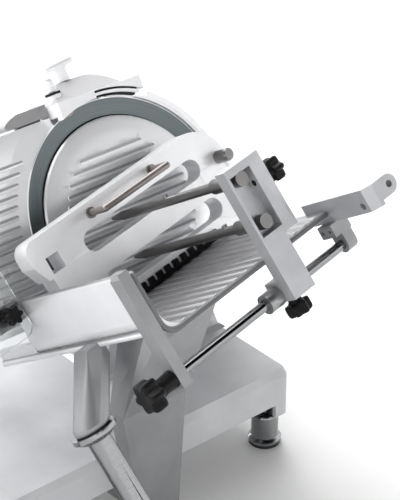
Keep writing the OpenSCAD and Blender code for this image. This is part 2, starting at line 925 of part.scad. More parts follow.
module hand_guard() {
    r = 14;
    lo = [-340, -44];
    hi = [wall_f - tray_t - 2, 62];
    color("lightcyan", 0.5) tray_frame() difference() {
        translate([0, 0, guard_n[0]]) linear_extrude(guard_n[1] - guard_n[0]) {
            translate([lo[0] + r, lo[1]]) square([hi[0] - lo[0] - 2 * r, hi[1] - lo[1]]);
            translate([lo[0], lo[1] + r]) square([hi[0] - lo[0], hi[1] - lo[1] - 2 * r]);
            for (x = [lo[0] + r, hi[0] - r], y = [lo[1] + r, hi[1] - r]) translate([x, y]) circle(r = r);
        }
        translate([-255, -10, 0]) bar_z(8.4, guard_n[0] - 1, guard_n[1] + 1);
    }
}

module guard_bracket() {
    color("silver") tray_frame() difference() {
        union() {
            block([-275, -24, guard_n[0] - 6 - eps], [wall_f - tray_t, 4, guard_n[0]]);
            block([wall_f - tray_t - 5, -24, guard_n[0] - 28], [wall_f - tray_t, 4, guard_n[0]]);
        }
        translate([-255, -10, 0]) bar_z(8.4, guard_n[0] - 10, guard_n[0] + 1);
    }
}

module guard_knob() {
    color("black") tray_frame() translate([-255, -10, 0]) {
        bar_z(8, guard_n[0] - 10, guard_n[1] + part_gap + 1);
        translate([0, 0, guard_n[1] + part_gap]) star_knob(26, 5, 11);
    }
}

// Rod, its carriers and the slider

module rod_arm() {
    top = 2;
    low = rod_u - 15;
    right = wall_f - tray_t;
    left = right - rod_arm_t;
    color("gainsboro") tray_frame() difference() {
        block([left, low, rod_n - 11], [right, top, rod_n + 11]);
        translate([left, top, rod_n - 20]) rotate([0, 0, 45]) cube([8, 8, 60], center = true);
        translate([0, rod_u, rod_n]) bar_x(rod_d + 2 * running_gap, left - 1, right + 1);
    }
}

module rod_knob() {
    hub = wall_f - tray_t - rod_arm_t - part_gap;
    color("black") tray_frame() translate([hub, rod_u, rod_n]) rotate([0, -90, 0]) difference() {
        star_knob(star_d, 26, 20);
        bar_z(rod_d + 2 * running_gap, -1, 30);
    }
}

module guide_rod() {
    color("lightgray") tray_frame() translate([0, rod_u, rod_n]) {
        bar_x(rod_d, wall_f - tray_t - rod_arm_t - 28, floor_end + 16);
    }
}

module rod_end_block() {
    left = floor_end - 10;
    boss_left = floor_end + 2;
    right = floor_end + 18;
    top = side_low;
    color("lightgray") tray_frame() difference() {
        union() {
            block([left, top - 16, rod_n - 12], [right, top, rod_n + 14]);
            block([boss_left, rod_u, rod_n - 11], [right, top - 15, rod_n + 11]);
            translate([0, rod_u, rod_n]) bar_x(22, boss_left, right);
        }
        translate([0, rod_u, rod_n]) bar_x(rod_d + 2 * running_gap, boss_left - 1, right + 1);
        for (n = [-6, 7]) translate([0, top - 8, rod_n + n]) bar_x(4.5, left - 1, left + 12);
    }
}

module side_bar() {
    left = floor_end;
    right = floor_end + 16;
    top = side_low + 29;
    flange_in = pusher_n + pusher_travel + comb_t + 1;
    far = tray_out + 88;
    lug_t = 22;
    lug_low = side_low + 5;
    eye_f = floor_end + 34;
    mid = (lug_low + top) / 2;
    color("lightgray") tray_frame() difference() {
        union() {
            block([left, side_low, 170], [right, -floor_u, far]);
            block([left, side_low, flange_in], [right, top, far]);
            block([left, lug_low, far - lug_t], [eye_f, top, far]);
            translate([eye_f, mid, 0]) bar_z(top - lug_low, far - lug_t, far);
        }
        translate([eye_f, mid, 0]) bar_z(9, far - lug_t - 5, far + 5);
        translate([0, side_low + 9, far - 20]) bar_x(9, left - 1, left + 12);
        translate([left, side_low + 10, far]) rotate([0, 45, 0]) cube([14, 80, 14], center = true);
    }
}

module slider_block() {
    slot_lo = tine_u[1] - 15;
    slot_hi = tine_u[0] + 8;
    color("lightgray") tray_frame() difference() {
        union() {
            block([block_f[0], block_low, block_n[0]], [block_f[1], slot_lo, block_n[1]]);
            block([block_f[0], block_low, rod_n - 14], [block_f[1], rod_u + 16, block_n[1]]);
            block([block_f[0], slot_lo - 1, block_n[0]], [block_f[0] + 4, block_top, block_n[1]]);
            block([block_f[0], slot_hi, block_n[0]], [jaw_f[1], block_top, block_n[1]]);
            block([jaw_f[0], slot_lo, block_n[0]], [jaw_f[1], block_top, block_n[1]]);
            block([block_f[0], slot_lo - 8, block_n[0]], [jaw_f[1], slot_lo + 1, block_n[1]]);
            block([block_f[0], slot_lo, block_n[0]], [jaw_f[1], slot_hi + 1, block_n[0] + 4]);
        }
        translate([0, rod_u, rod_n]) bar_x(20 + 2 * running_gap, block_f[0] - 1, block_f[1] + 1);
        for (u = tine_u) translate([tine_f, u, 0]) bar_z(sleeve_d + 2 * running_gap, block_n[0] - 1, block_n[1]);
        translate([0, tine_u[0] - 14, block_n[0] + 9]) bar_x(8 + 2 * running_gap, jaw_f[0] - 1, jaw_f[1] + 1);
        translate([(block_f[0] + block_f[1]) / 2, 0, rod_n]) bar_y(8 + 2 * running_gap, block_low - 1, rod_u);
    }
}

module slider_bush() {
    color("silver") tray_frame() translate([0, rod_u, rod_n]) difference() {
        union() {
            bar_x(20, block_f[0], block_f[1]);
            bar_x(25, block_f[0] - 22, block_f[0]);
        }
        bar_x(rod_d + 2 * running_gap, block_f[0] - 40, block_f[1] + 10);
        translate([(block_f[0] + block_f[1]) / 2, 0, 0]) bar_y(9, -20, 0);
    }
}

module lock_knob() {
    color("black") tray_frame() translate([(block_f[0] + block_f[1]) / 2, block_low - part_gap, rod_n]) {
        rotate([90, 0, 0]) star_knob(small_star_d, 9, 16);
        bar_y(8, -1, rod_u - rod_d / 2 - block_low - 2 * part_gap);
    }
}

module clamp_knob() {
    color("black") tray_frame() translate([jaw_f[1] + part_gap, tine_u[0] - 14, block_n[0] + 9]) {
        rotate([0, 90, 0]) star_knob(small_star_d, 6, 15);
        bar_x(8, jaw_f[0] - jaw_f[1] - part_gap, 1);
    }
}

module tine(u, stub_n) {
    tip = 26;
    inner = pusher_n - pusher_t - 18;
    color("gray") tray_frame() translate([tine_f, u, 0]) {
        bar_z(tine_d, inner + tip, tray_out - 38);
        translate([0, 0, inner]) cylinder(d1 = 4, d2 = tine_d, h = tip);
        bar_z(sleeve_d, tray_out - 38, block_n[1] - 2);
        translate([0, 0, stub_n]) bar_y(7, 0, tine_d / 2 + 3);
    }
}

module upper_tine() {
    tine(tine_u[0], 160);
}

module lower_tine() {
    tine(tine_u[1], 238);
}

// Pusher

module pusher_outline() {
    turn = 50;
    nose = 16;
    heel = 22;
    low = -floor_u + 2.2;
    left = pusher_f[0];
    right = pusher_f[1];
    difference() {
        union() {
            translate([left + nose, low]) square([right - turn - left - nose, pusher_top - low]);
            translate([left, 0]) square([nose, pusher_top - nose]);
            translate([right - turn, low + heel]) square([turn, pusher_top - turn - low - heel]);
            translate([right - turn, low]) square([turn - heel, heel]);
            translate([right - turn, pusher_top - turn]) circle(r = turn);
            translate([left + nose, pusher_top - nose]) circle(r = nose);
            translate([right - heel, low + heel]) circle(r = heel);
        }
        polygon([[left - 1, 24], [left, 24], [-188, -18], [-166, low], [-166, low - 1], [left - 1, low - 1]]);
        for (u = tine_u) translate([0, u]) slot_2d(slot_f[0], slot_f[1], slot_w);
        translate([-186, 4]) square([20, 22]);
    }
}

module pusher_plate() {
    color("whitesmoke") tray_frame() difference() {
        translate([0, 0, pusher_n - pusher_t]) linear_extrude(pusher_t) pusher_outline();
        for (f = [-98, 10]) translate([f, 40, 0]) bar_z(5 + 2 * running_gap, pusher_n - 12, pusher_n + 1);
        translate([109, 3, 0]) bar_z(8 + 2 * running_gap, pusher_n - 12, pusher_n + 1);
    }
}

module pusher_comb() {
    first = -150;
    last = 58;
    pitch = 14.5;
    tooth_w = 8.3;
    low = -floor_u + 2.2;
    color("black") tray_frame() {
        block([first, low, pusher_n], [last, low + 5, pusher_n + comb_t]);
        for (f = [first:pitch:last - tooth_w]) {
            block([f, low + 5 - eps, pusher_n], [f + tooth_w, low + 13, pusher_n + comb_t]);
        }
    }
}

module pusher_handle() {
    stand = 36;
    level = 40;
    ends = [-98, 10];
    color("silver") tray_frame() {
        for (f = ends) {
            translate([f, level, 0]) {
                bar_z(grip_d, pusher_n, pusher_n + stand);
                bar_z(grip_d + 5, pusher_n, pusher_n + 3);
                bar_z(5, pusher_n - 10, pusher_n);
                translate([0, 0, pusher_n + stand]) sphere(d = grip_d);
            }
        }
        translate([0, level, pusher_n + stand]) bar_x(grip_d, ends[0], ends[1]);
    }
}

module pusher_pin() {
    color("gray") tray_frame() translate([109, 3, 0]) {
        bar_z(8, pusher_n - 10, pusher_n);
        bar_z(17, pusher_n, pusher_n + 22);
        translate([0, 0, pusher_n + 22]) cylinder(d1 = 17, d2 = 13, h = 2);
    }
}

placed() base_casting();
placed() blade_column();
placed() gauge_guide();
placed() leveling_feet();
placed() foot_pads();
placed() cable_gland();
placed() carriage_rail();
placed() blade_carrier();
placed() blade_bearings();
placed() rear_housing();
placed() rear_cover();
placed() cover_screws();
placed() motor();
placed() drive_belt();
placed() blade();
placed() blade_shaft();
placed() blade_pulley();
placed() motor_pulley();
placed() blade_cover();
placed() cover_tie_rod();
placed() cover_knob();
placed() gauge_plate();
placed() gauge_slide_rod();
placed() gauge_link();
placed() index_knob();
placed() index_shaft();
placed() index_cam();
placed() switch_plate();
placed() start_button();
placed() stop_button();
placed() sharpener_post();
placed() sharpener_hood();
placed() sharpener_seal();
placed() wing_knob();
placed() sharpener_button();
placed() grinding_stone();
placed() truing_stone();
placed() tray();
placed() carriage_arm();
placed() slide_bush();
placed() handle_bracket();
placed() push_grip();
placed() hand_guard();
placed() guard_bracket();
placed() guard_knob();
placed() rod_arm();
placed() rod_knob();
placed() guide_rod();
placed() rod_end_block();
placed() side_bar();
placed() slider_block();
placed() slider_bush();
placed() lock_knob();
placed() clamp_knob();
placed() upper_tine();
placed() lower_tine();
placed() pusher_plate();
placed() pusher_comb();
placed() pusher_handle();
placed() pusher_pin();
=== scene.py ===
import math

import bmesh
import bpy
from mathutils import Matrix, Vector


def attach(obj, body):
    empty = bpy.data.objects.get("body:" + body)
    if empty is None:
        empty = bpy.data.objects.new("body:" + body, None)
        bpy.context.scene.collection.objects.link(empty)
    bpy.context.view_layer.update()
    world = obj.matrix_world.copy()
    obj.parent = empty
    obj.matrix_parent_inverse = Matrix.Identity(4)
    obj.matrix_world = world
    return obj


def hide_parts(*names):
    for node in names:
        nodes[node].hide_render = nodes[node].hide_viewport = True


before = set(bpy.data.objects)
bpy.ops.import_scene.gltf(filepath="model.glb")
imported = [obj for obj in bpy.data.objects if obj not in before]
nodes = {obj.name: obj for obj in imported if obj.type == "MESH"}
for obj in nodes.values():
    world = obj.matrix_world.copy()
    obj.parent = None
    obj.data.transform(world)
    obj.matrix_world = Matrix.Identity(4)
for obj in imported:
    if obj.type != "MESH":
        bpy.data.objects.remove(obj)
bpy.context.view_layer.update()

MM = 0.001

# Frames of the machine, the same as in the part's source, in metres

ORIGIN_SHIFT = Vector((-0.0145, 0.07357, 0.0))
BLADE_CENTRE = Vector((0.171, 0.010, 0.302)) + ORIGIN_SHIFT
BLADE_TILT = math.radians(33.3)
TRAY_ROLL = math.radians(11.2)

STROKE = Vector((1, 0, 0))
BLADE_UP = Vector((0, math.sin(BLADE_TILT), math.cos(BLADE_TILT)))
BLADE_OUT = Vector((0, -math.cos(BLADE_TILT), math.sin(BLADE_TILT)))
TRAY_ALONG = STROKE * math.cos(TRAY_ROLL) + BLADE_UP * math.sin(TRAY_ROLL)
TRAY_UP = BLADE_UP * math.cos(TRAY_ROLL) - STROKE * math.sin(TRAY_ROLL)


def at_blade(s, v, n):
    """Point in the blade's frame, in millimetres, as a row-frame point in metres."""
    return BLADE_CENTRE + (STROKE * s + BLADE_UP * v + BLADE_OUT * n) * MM


def at_tray(f, u, n):
    """Point in the tray's frame, in millimetres, as a row-frame point in metres."""
    return BLADE_CENTRE + (TRAY_ALONG * f + TRAY_UP * u + BLADE_OUT * n) * MM


def at_base(x, y, z):
    """Point counted from the base's middle, in millimetres, as a row-frame point in metres."""
    return Vector((x, y, z)) * MM + ORIGIN_SHIFT


# Shared effects, each a node group placed in the finishes that use it


def new_group(name, inputs, outputs):
    """Empty shader group with its sockets."""
    tree = bpy.data.node_groups.new(name, "ShaderNodeTree")
    for label, kind, value in inputs:
        socket = tree.interface.new_socket(label, in_out="INPUT", socket_type=kind)
        socket.default_value = value
    for label, kind in outputs:
        tree.interface.new_socket(label, in_out="OUTPUT", socket_type=kind)
    return tree, tree.nodes.new("NodeGroupInput"), tree.nodes.new("NodeGroupOutput")


def add_node(tree, kind, links=(), **settings):
    """New node with settings, and its inputs linked or set by name or number."""
    node = tree.nodes.new(kind)
    for key, value in settings.items():
        setattr(node, key, value)
    for key, value in links:
        if isinstance(value, bpy.types.NodeSocket):
            tree.links.new(value, node.inputs[key])
        else:
            node.inputs[key].default_value = value
    return node


def vector_math(tree, operation, first, second=(0.0, 0.0, 0.0)):
    """Vector node, which gives a number for a dot product or a length."""
    node = add_node(tree, "ShaderNodeVectorMath", [(0, first), (1, second)], operation=operation)
    return node.outputs["Value" if operation in ("DOT_PRODUCT", "LENGTH") else "Vector"]


def number_math(tree, operation, *values):
    """Number node of one or two values."""
    return add_node(tree, "ShaderNodeMath", list(enumerate(values)), operation=operation).outputs["Value"]


def blasted_grain_group():
    """Fine grain of blasted or moulded surfaces, with slow cloudy variation."""
    tree, given, out = new_group(
        "blasted_grain",
        [("Grain size", "NodeSocketFloat", 1500.0), ("Cloud size", "NodeSocketFloat", 14.0)],
        [("Height", "NodeSocketFloat"), ("Cloud", "NodeSocketFloat")],
    )
    place = add_node(tree, "ShaderNodeTexCoord").outputs["Object"]
    grain = add_node(
        tree, "ShaderNodeTexNoise",
        [("Vector", place), ("Scale", given.outputs["Grain size"]), ("Detail", 3.0), ("Roughness", 0.6)],
    )
    cloud = add_node(
        tree, "ShaderNodeTexNoise",
        [("Vector", place), ("Scale", given.outputs["Cloud size"]), ("Detail", 4.0), ("Roughness", 0.55)],
    )
    tree.links.new(grain.outputs["Fac"], out.inputs["Height"])
    tree.links.new(cloud.outputs["Fac"], out.inputs["Cloud"])
    return tree


def turned_lines_group():
    """Rings left by turning or grinding about an axis."""
    tree, given, out = new_group(
        "turned_lines",
        [
            ("Centre", "NodeSocketVector", (0.0, 0.0, 0.0)),
            ("Axis", "NodeSocketVector", (0.0, 0.0, 1.0)),
            ("Fineness", "NodeSocketFloat", 1200.0),
        ],
        [("Lines", "NodeSocketFloat"), ("Radius", "NodeSocketFloat")],
    )
    place = add_node(tree, "ShaderNodeTexCoord").outputs["Object"]
    arm = vector_math(tree, "SUBTRACT", place, given.outputs["Centre"])
    along = vector_math(tree, "PROJECT", arm, given.outputs["Axis"])
    radius = vector_math(tree, "LENGTH", vector_math(tree, "SUBTRACT", arm, along))
    line = add_node(
        tree, "ShaderNodeTexNoise",
        [("W", radius), ("Scale", given.outputs["Fineness"]), ("Detail", 4.0), ("Roughness", 0.65)],
        noise_dimensions="1D",
    )
    tree.links.new(line.outputs["Fac"], out.inputs["Lines"])
    tree.links.new(radius, out.inputs["Radius"])
    return tree


def brushed_lines_group():
    """Fine scratches drawn out along one direction."""
    tree, given, out = new_group(
        "brushed_lines",
        [("Stretch", "NodeSocketVector", (1.0, 1.0, 1.0)), ("Fineness", "NodeSocketFloat", 900.0)],
        [("Lines", "NodeSocketFloat")],
    )
    place = add_node(tree, "ShaderNodeTexCoord").outputs["Object"]
    drawn = vector_math(tree, "MULTIPLY", place, given.outputs["Stretch"])
    line = add_node(
        tree, "ShaderNodeTexNoise",
        [("Vector", drawn), ("Scale", given.outputs["Fineness"]), ("Detail", 5.0), ("Roughness", 0.7)],
    )
    tree.links.new(line.outputs["Fac"], out.inputs["Lines"])
    return tree


GRAIN = blasted_grain_group()
TURNED = turned_lines_group()
BRUSHED = brushed_lines_group()


# Finishes, whose relief is given in metres

GRAIN_DEPTH = 0.0003
LINE_DEPTH = 0.0002


def place_group(tree, group, values=()):
    """Shared effect placed in a finish."""
    node = tree.nodes.new("ShaderNodeGroup")
    node.node_tree = group
    for label, value in values:
        node.inputs[label].default_value = value
    return node


def spread(tree, source, low, high, start=0.3, end=0.7, clamp=True):
    """Maps a pattern between start and end onto the values low to high."""
    node = add_node(
        tree, "ShaderNodeMapRange",
        [("Value", source), ("From Min", start), ("From Max", end), ("To Min", low), ("To Max", high)],
        clamp=clamp,
    )
    return node.outputs["Result"]


def tint(tree, source, dark, light, start=0.35, end=0.65):
    """Maps a 0 to 1 pattern onto two colours."""
    ramp = add_node(tree, "ShaderNodeValToRGB", [("Fac", source)])
    ramp.color_ramp.elements[0].position = start
    ramp.color_ramp.elements[0].color = (*dark, 1)
    ramp.color_ramp.elements[1].position = end
    ramp.color_ramp.elements[1].color = (*light, 1)
    return ramp.outputs["Color"]


def new_finish(name):
    """New material with its tree and main shader."""
    material = bpy.data.materials.new(name)
    material.use_nodes = True
    return material, material.node_tree, material.node_tree.nodes["Principled BSDF"]


def raise_surface(tree, shader, height, strength, depth):
    """Fine relief from a pattern, with its depth in metres."""
    relief = [("Height", height), ("Strength", strength), ("Distance", depth)]
    bump = add_node(tree, "ShaderNodeBump", relief)
    tree.links.new(bump.outputs["Normal"], shader.inputs["Normal"])


def grained_finish(name, dark, light, rough, metal, grain=1500.0, strength=0.25, cloud=14.0, coat=0.0):
    """Blasted, cast or moulded surface: fine grain, cloudy tone and uneven gloss."""
    material, tree, shader = new_finish(name)
    grained = place_group(tree, GRAIN, [("Grain size", grain), ("Cloud size", cloud)])
    tree.links.new(tint(tree, grained.outputs["Cloud"], dark, light), shader.inputs["Base Color"])
    gloss = spread(tree, grained.outputs["Cloud"], rough + 0.05, rough - 0.05)
    tree.links.new(gloss, shader.inputs["Roughness"])
    raise_surface(tree, shader, grained.outputs["Height"], strength, GRAIN_DEPTH)
    shader.inputs["Metallic"].default_value = metal
    shader.inputs["Coat Weight"].default_value = coat
    return material


def brushed_finish(name, dark, light, rough, stretch, metal=1.0):
    """Brushed or drawn metal with scratches along one direction."""
    material, tree, shader = new_finish(name)
    lines = place_group(tree, BRUSHED, [("Stretch", stretch), ("Fineness", 700.0)]).outputs["Lines"]
    tree.links.new(tint(tree, lines, dark, light), shader.inputs["Base Color"])
    tree.links.new(spread(tree, lines, rough - 0.06, rough + 0.08), shader.inputs["Roughness"])
    raise_surface(tree, shader, lines, 0.12, LINE_DEPTH)
    shader.inputs["Metallic"].default_value = metal
    return material


def turned_finish(name, dark, light, rough, centre, axis, fineness=1200.0):
    """Turned metal with rings about an axis."""
    material, tree, shader = new_finish(name)
    values = [("Centre", centre), ("Axis", axis), ("Fineness", fineness)]
    lines = place_group(tree, TURNED, values).outputs["Lines"]
    tree.links.new(tint(tree, lines, dark, light), shader.inputs["Base Color"])
    tree.links.new(spread(tree, lines, rough - 0.06, rough + 0.08), shader.inputs["Roughness"])
    raise_surface(tree, shader, lines, 0.15, LINE_DEPTH)
    shader.inputs["Metallic"].default_value = 1.0
    return material


# Tones of the finishes made by functions, and the spacing of the ribs in metres

WHITE_DARK = (0.87, 0.875, 0.89)
WHITE_LIGHT = (0.92, 0.925, 0.94)
WHITE_ROUGH = 0.32
WHITE_METAL = 0.4
RAW_GREY = (0.34, 0.345, 0.355)
# Painted shade and painted highlight for the ribs' upper and lower flanks
RIB_PAINTED_SHADE = (0.40, 0.405, 0.42)
RIB_PAINTED_HIGHLIGHT = (0.99, 0.99, 1.0)
RIB_PITCH = 0.0124
TRAY_DARK = (0.72, 0.725, 0.74)
TRAY_LIGHT = (0.77, 0.775, 0.79)
# Painted shade on the tray's floor
FLOOR_PAINTED_SHADE = (0.18, 0.18, 0.188)
# Painted shade on the sharpener's faces that look up
TOP_PAINTED_SHADE = (0.42, 0.42, 0.43)
# Painted shade on the guard shoe over the gauge plate
SHOE_PAINTED_SHADE = (0.30, 0.30, 0.305)
BLADE_DARK = (0.10, 0.118, 0.122)
BLADE_LIGHT = (0.155, 0.173, 0.177)
EDGE_STEEL = (0.72, 0.73, 0.74)
GUARD_EDGE = (0.20, 0.15, 0.12)
GUARD_CLEAR = (0.93, 0.95, 0.95)


def shade_where(material, mask, colour):
    """Changes a finish to another colour where the mask is one."""
    tree = material.node_tree
    shader = tree.nodes["Principled BSDF"]
    plain = shader.inputs["Base Color"].links[0].from_socket
    values = [("Factor", mask), (6, plain), (7, (*colour, 1.0))]
    mixed = add_node(tree, "ShaderNodeMix", values, data_type="RGBA")
    tree.links.new(mixed.outputs[2], shader.inputs["Base Color"])


def facing(tree, direction):
    """How far a surface faces a direction, from minus one to one."""
    normal = add_node(tree, "ShaderNodeNewGeometry").outputs["Normal"]
    return vector_math(tree, "DOT_PRODUCT", normal, direction)


def blade_places(tree, *axes):
    """Distances from the blade's centre along each axis, in metres."""
    place = add_node(tree, "ShaderNodeTexCoord").outputs["Object"]
    arm = vector_math(tree, "SUBTRACT", place, BLADE_CENTRE)
    return [vector_math(tree, "DOT_PRODUCT", arm, axis) for axis in axes]


def white_finish(name, dark=WHITE_DARK, light=WHITE_LIGHT):
    """White anodised face, with the back left as a raw grey casting."""
    material = grained_finish(name, dark, light, WHITE_ROUGH, WHITE_METAL)
    tree = material.node_tree
    shade_where(material, spread(tree, facing(tree, -BLADE_OUT), 0.0, 1.0, 0.4, 0.7), RAW_GREY)
    return material


def ribbed_finish_with_painted_light(name, first, face):
    """White face with ribs, with painted shade on each rib's upper flank and a painted highlight on its lower
    one.

    One rib's middle lies at the height first, and the ribs stand out from the level face, both in metres.
    """
    material = white_finish(name)
    tree = material.node_tree
    up, out = blade_places(tree, BLADE_UP, BLADE_OUT)
    raised = spread(tree, out, 0.0, 1.0, face, face + 0.0008)
    rows = spread(tree, up, 0.5, 1.5, first, first + RIB_PITCH, clamp=False)
    row = number_math(tree, "FRACT", rows)
    # Painted shade on each rib's upper flank and a painted highlight on its lower one, only where the rib
    # stands out
    for middle, reach, colour in ((0.64, 0.22, RIB_PAINTED_SHADE), (0.35, 0.16, RIB_PAINTED_HIGHLIGHT)):
        away = number_math(tree, "ABSOLUTE", number_math(tree, "SUBTRACT", row, middle))
        flank = spread(tree, away, 1.0, 0.0, 0.4 * reach, reach)
        shade_where(material, number_math(tree, "MULTIPLY", flank, raised), colour)
    return material


def tray_finish_with_painted_shade():
    """White tray, with painted shade on its ribbed floor, the faces that look up the tray."""
    material = white_finish("tray_white", TRAY_DARK, TRAY_LIGHT)
    tree = material.node_tree
    # Painted shade on the faces that look up the tray, the floor
    shade_where(material, spread(tree, facing(tree, TRAY_UP), 0.0, 1.0, 0.35, 0.8), FLOOR_PAINTED_SHADE)
    return material


def sharpener_finish_with_painted_shade():
    """White sharpener, with painted shade on the faces that look up."""
    material = grained_finish("sharpener_white", WHITE_DARK, WHITE_LIGHT, 0.45, 0.0)
    tree = material.node_tree
    tree.nodes["Principled BSDF"].inputs["Specular IOR Level"].default_value = 0.1
    # Painted shade on the faces that look up
    shade_where(material, spread(tree, facing(tree, BLADE_UP), 0.0, 1.0, 0.1, 0.7), TOP_PAINTED_SHADE)
    return material


def carrier_finish_with_painted_shade():
    """White carrier and guard ring, with painted shade on the shoe over the gauge plate, a darker grey there.
    """
    material = white_finish("carrier_white")
    tree = material.node_tree
    up, along = blade_places(tree, BLADE_UP, STROKE)
    high = spread(tree, up, 0.0, 1.0, 0.1480, 0.1485)
    left = spread(tree, along, 0.0, 1.0, -0.0570, -0.0575)
    # Painted shade on the shoe: above the given height and left of the given place
    shade_where(material, number_math(tree, "MULTIPLY", high, left), SHOE_PAINTED_SHADE)
    return material


def blade_finish():
    """Ground blade: dark satin face with rings, and a brighter sharpened edge."""
    material, tree, shader = new_finish("ground_blade")
    values = [("Centre", BLADE_CENTRE), ("Axis", BLADE_OUT), ("Fineness", 900.0)]
    turned = place_group(tree, TURNED, values)
    face = tint(tree, turned.outputs["Lines"], BLADE_DARK, BLADE_LIGHT)
    tree.links.new(face, shader.inputs["Base Color"])
    shade_where(material, spread(tree, turned.outputs["Radius"], 0.0, 1.0, 0.1490, 0.1494), EDGE_STEEL)
    tree.links.new(spread(tree, turned.outputs["Lines"], 0.28, 0.42), shader.inputs["Roughness"])
    raise_surface(tree, shader, turned.outputs["Lines"], 0.8, GRAIN_DEPTH)
    shader.inputs["Metallic"].default_value = 1.0
    return material


def clear_guard_finish():
    """Clear sheet whose cut edges look smoky brown."""
    material, tree, shader = new_finish("clear_sheet")
    flat = number_math(tree, "ABSOLUTE", facing(tree, BLADE_OUT))
    tree.links.new(tint(tree, flat, GUARD_EDGE, GUARD_CLEAR, 0.5, 0.9), shader.inputs["Base Color"])
    marks = place_group(tree, GRAIN, [("Grain size", 300.0), ("Cloud size", 20.0)])
    tree.links.new(spread(tree, marks.outputs["Cloud"], 0.03, 0.09), shader.inputs["Roughness"])
    shader.inputs["Transmission Weight"].default_value = 1.0
    shader.inputs["IOR"].default_value = 1.45
    return material


# Grained finishes: name, dark and light tone, roughness, share of metal, grain size, relief, cloud size, coat

GRAINED = {
    "cast": ("blasted_casting", (0.38, 0.385, 0.40), (0.44, 0.445, 0.46), 0.36, 0.5, 1100.0, 0.3),
    "base": ("base_casting", (0.43, 0.435, 0.45), (0.49, 0.495, 0.51), 0.50, 0.0, 1100.0, 0.3),
    "arm": ("arm_casting", (0.235, 0.24, 0.248), (0.28, 0.285, 0.293), 0.36, 0.5, 1100.0, 0.3),
    "tine": ("tine_steel", (0.20, 0.197, 0.195), (0.23, 0.227, 0.225), 0.34, 1.0, 1500.0, 0.0, 40.0),
    "steel": ("satin_steel", (0.27, 0.275, 0.28), (0.33, 0.335, 0.34), 0.40, 1.0, 1800.0, 0.06, 40.0),
    "black": ("moulded_black", (0.005, 0.005, 0.0055), (0.009, 0.009, 0.0095), 0.36, 0.0, 900.0, 0.3),
    "rubber": ("rubber_black", (0.014, 0.014, 0.014), (0.03, 0.03, 0.03), 0.75, 0.0, 700.0, 0.4),
    "belt": ("belt_black", (0.014, 0.014, 0.014), (0.03, 0.03, 0.03), 0.7, 0.0, 500.0, 0.4),
    "grey": ("moulded_grey", (0.20, 0.20, 0.205), (0.27, 0.27, 0.275), 0.5, 0.0, 900.0, 0.3),
    # Dark grey of the tray's edge bead, partly a trim and partly painted shade
    "trim": ("trim_grey_and_painted_shade", (0.11, 0.113, 0.117), (0.15, 0.153, 0.157), 0.45, 0.0, 900.0, 0.2),
    "green": ("button_green", (0.03, 0.26, 0.08), (0.04, 0.32, 0.10), 0.3, 0.0, 900.0, 0.1, 14.0, 0.3),
    "red": ("button_red", (0.46, 0.02, 0.02), (0.56, 0.03, 0.03), 0.3, 0.0, 900.0, 0.1, 14.0, 0.3),
    "stone": ("bonded_stone", (0.28, 0.24, 0.22), (0.45, 0.38, 0.35), 0.85, 0.0, 600.0, 0.9),
}

# Brushed finishes: name, dark and light tone, roughness, stretch of the scratches

BRUSHED_METALS = {
    "chrome_rod": ("polished_rod", (0.23, 0.235, 0.24), (0.28, 0.285, 0.29), 0.16, (0.04, 1.0, 1.0)),
    "handle": ("handle_steel", (0.25, 0.228, 0.22), (0.32, 0.298, 0.29), 0.45, (0.06, 1.0, 1.0)),
}

BRONZE = ("turned_bronze", (0.50, 0.34, 0.16), (0.62, 0.44, 0.22), 0.35, at_base(0, -155, 82), STROKE)

FINISHES = {
    "anodised": white_finish("anodised_white"),
    "ribbed_cover": ribbed_finish_with_painted_light("cover_white", 0.0062, 0.0057),
    "ribbed_gauge": ribbed_finish_with_painted_light("gauge_white", 0.1076, -0.0040),
    "tray": tray_finish_with_painted_shade(),
    "sharpener": sharpener_finish_with_painted_shade(),
    "carrier": carrier_finish_with_painted_shade(),
    "blade": blade_finish(),
    "bronze": turned_finish(*BRONZE),
    "clear": clear_guard_finish(),
}
FINISHES.update({key: grained_finish(*values) for key, values in GRAINED.items()})
FINISHES.update({key: brushed_finish(*values) for key, values in BRUSHED_METALS.items()})

DULL_SPECULAR = 0.12

for finish in ("black", "rubber", "belt"):
    shader = FINISHES[finish].node_tree.nodes["Principled BSDF"]
    shader.inputs["Specular IOR Level"].default_value = DULL_SPECULAR

# Finish and edge rounding, in millimetres, of each CAD node

